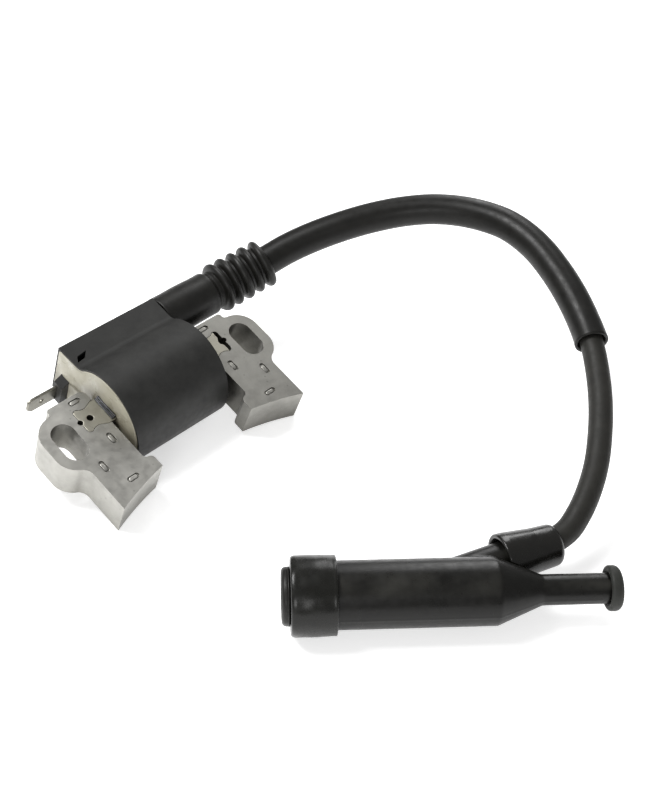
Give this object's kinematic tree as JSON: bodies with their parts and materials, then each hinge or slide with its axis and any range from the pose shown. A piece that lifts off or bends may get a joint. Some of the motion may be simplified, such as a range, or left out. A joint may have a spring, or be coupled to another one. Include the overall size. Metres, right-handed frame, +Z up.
{
  "type": "ignition coil",
  "caption": "Small-engine ignition coil: potted coil on a slotted laminated steel core, with a stop terminal blade and a sleeved high-tension lead ending in a rubber spark plug cap.",
  "frame": {"origin": "on the surface the part lies on, under the centre of the coil's own box (case, core, bellows left out); the lead and cap reach out to +X and -Y", "axes": "+X along the coil and its core bar towards the lead's outlet, +Z up from the surface; the core leans 20 degrees about X, front (pole tips) towards -Y"},
  "size_m": [0.1419, 0.1499, 0.0421],
  "materials": {
    "core_steel": "satin, blanked edges",
    "bar_steel": "satin, slightly warm",
    "case_plastic": "black, satin",
    "potting_resin": "cream, uneven cast surface",
    "bobbin_plastic": "natural",
    "copper_wire": "enamelled",
    "board_laminate": "green laminate",
    "part_black": "moulded",
    "part_tan": "lacquered",
    "terminal_tin": "tinned",
    "holder_plastic": "black",
    "clip_steel": "bright, bluish",
    "contact_brass": "plain",
    "boot_rubber": "satin black",
    "lead_rubber": "matt dark grey",
    "sleeve_plastic": "semi-gloss black",
    "cap_rubber": "satin black",
    "collar_rubber": "semi-gloss, olive black",
    "knob_rubber": "matt, greenish black",
    "ring_steel": "bright"
  },
  "bodies": {
    "coil_module": {"left_core_leg": "core_steel", "right_core_leg": "core_steel", "core_bar": "bar_steel", "coil_case": "case_plastic", "potting_fill": "potting_resin", "primary_bobbin": "bobbin_plastic", "primary_winding": "copper_wire", "secondary_bobbin": "bobbin_plastic", "secondary_winding": "copper_wire", "ignition_board": "board_laminate", "switch_transistor": "part_black", "board_resistors": "part_tan", "kill_terminal": "terminal_tin", "terminal_holder": "holder_plastic", "ground_clip": "clip_steel", "ht_contact": "contact_brass", "bellows_boot": "boot_rubber", "ignition_lead": "lead_rubber", "lead_sleeve": "sleeve_plastic", "lead_core_end": "copper_wire"},
    "plug_cap": {"cap_body": "cap_rubber", "branch_boot": "boot_rubber", "lead_contact": "contact_brass", "plug_socket": "contact_brass", "snap_ring": "ring_steel", "seal_collar": "collar_rubber", "plug_lip_seal": "boot_rubber", "pull_knob": "knob_rubber"}
  },
  "joints": [
    {"name": "plug_cap_swivel", "type": "hinge", "parent": "coil_module", "child": "plug_cap", "pos_m": [-0.00314, -0.0889, 0.0093], "axis": [0.9304, -0.3665, 0], "range_deg": [-10, 10]}
  ]
}
